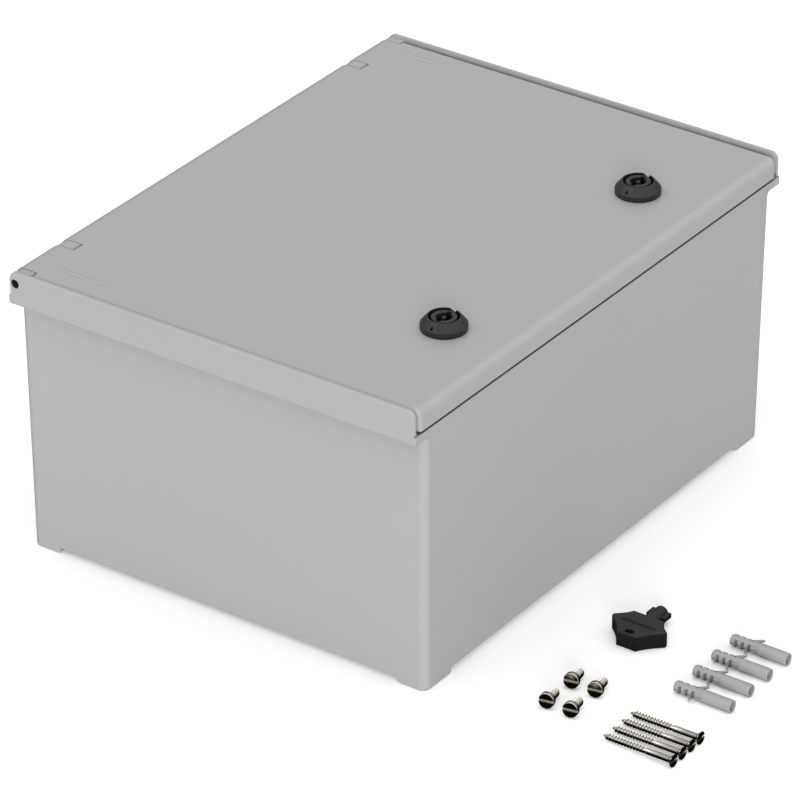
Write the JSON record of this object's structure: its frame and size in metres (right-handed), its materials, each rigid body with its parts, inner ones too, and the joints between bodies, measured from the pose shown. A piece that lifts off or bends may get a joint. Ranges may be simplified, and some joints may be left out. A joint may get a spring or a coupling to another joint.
{
  "type": "wall cabinet",
  "caption": "Grey moulded plastic wall cabinet for electrical gear, with a hinged door on side ears, round double-bit locks, and its key, screws and plugs beside it.",
  "frame": {"origin": "middle of the four wall fixing holes, on the faces of the feet at the back", "axes": "+X from the hinge side to the lock side, +Y along the hinge line up the wall, +Z out of the back towards the door"},
  "size_m": [0.4642, 0.4, 0.2062],
  "materials": {
    "cabinet_plastic": "satin",
    "black_plastic": "satin",
    "key_plastic": "matte",
    "seal_rubber": "matte",
    "plated_steel": "bright",
    "brass": "turned",
    "nylon": "satin"
  },
  "bodies": {
    "cabinet": {"body_shell": "cabinet_plastic", "hinge_pin_lower": "black_plastic", "hinge_pin_upper": "black_plastic", "plate_inserts": "brass", "key": "key_plastic", "plate_screws": "plated_steel", "wall_screws": "plated_steel", "wall_plugs": "nylon"},
    "door": {"door_panel": "cabinet_plastic", "door_gasket": "seal_rubber", "lower_lock_bezel": "black_plastic", "lower_lock_seal": "seal_rubber", "lower_lock_nut": "plated_steel", "upper_lock_bezel": "black_plastic", "upper_lock_seal": "seal_rubber", "upper_lock_nut": "plated_steel"},
    "lower_lock": {"lower_lock_barrel": "black_plastic", "lower_lock_tongue": "plated_steel", "lower_lock_washer": "plated_steel", "lower_lock_screw": "plated_steel"},
    "upper_lock": {"upper_lock_barrel": "black_plastic", "upper_lock_tongue": "plated_steel", "upper_lock_washer": "plated_steel", "upper_lock_screw": "plated_steel"}
  },
  "joints": [
    {"name": "door_hinge", "type": "hinge", "parent": "cabinet", "child": "door", "pos_m": [-0.145, 0, 0.1911], "axis": [0, -1, 0], "range_deg": [0, 180]},
    {"name": "lower_lock_turn", "type": "hinge", "parent": "door", "child": "lower_lock", "pos_m": [0.1047, -0.1055, 0.1905], "axis": [0, 0, 1], "range_deg": [0, 90]},
    {"name": "upper_lock_turn", "type": "hinge", "parent": "door", "child": "upper_lock", "pos_m": [0.1047, 0.1055, 0.1905], "axis": [0, 0, 1], "range_deg": [0, 90]}
  ]
}
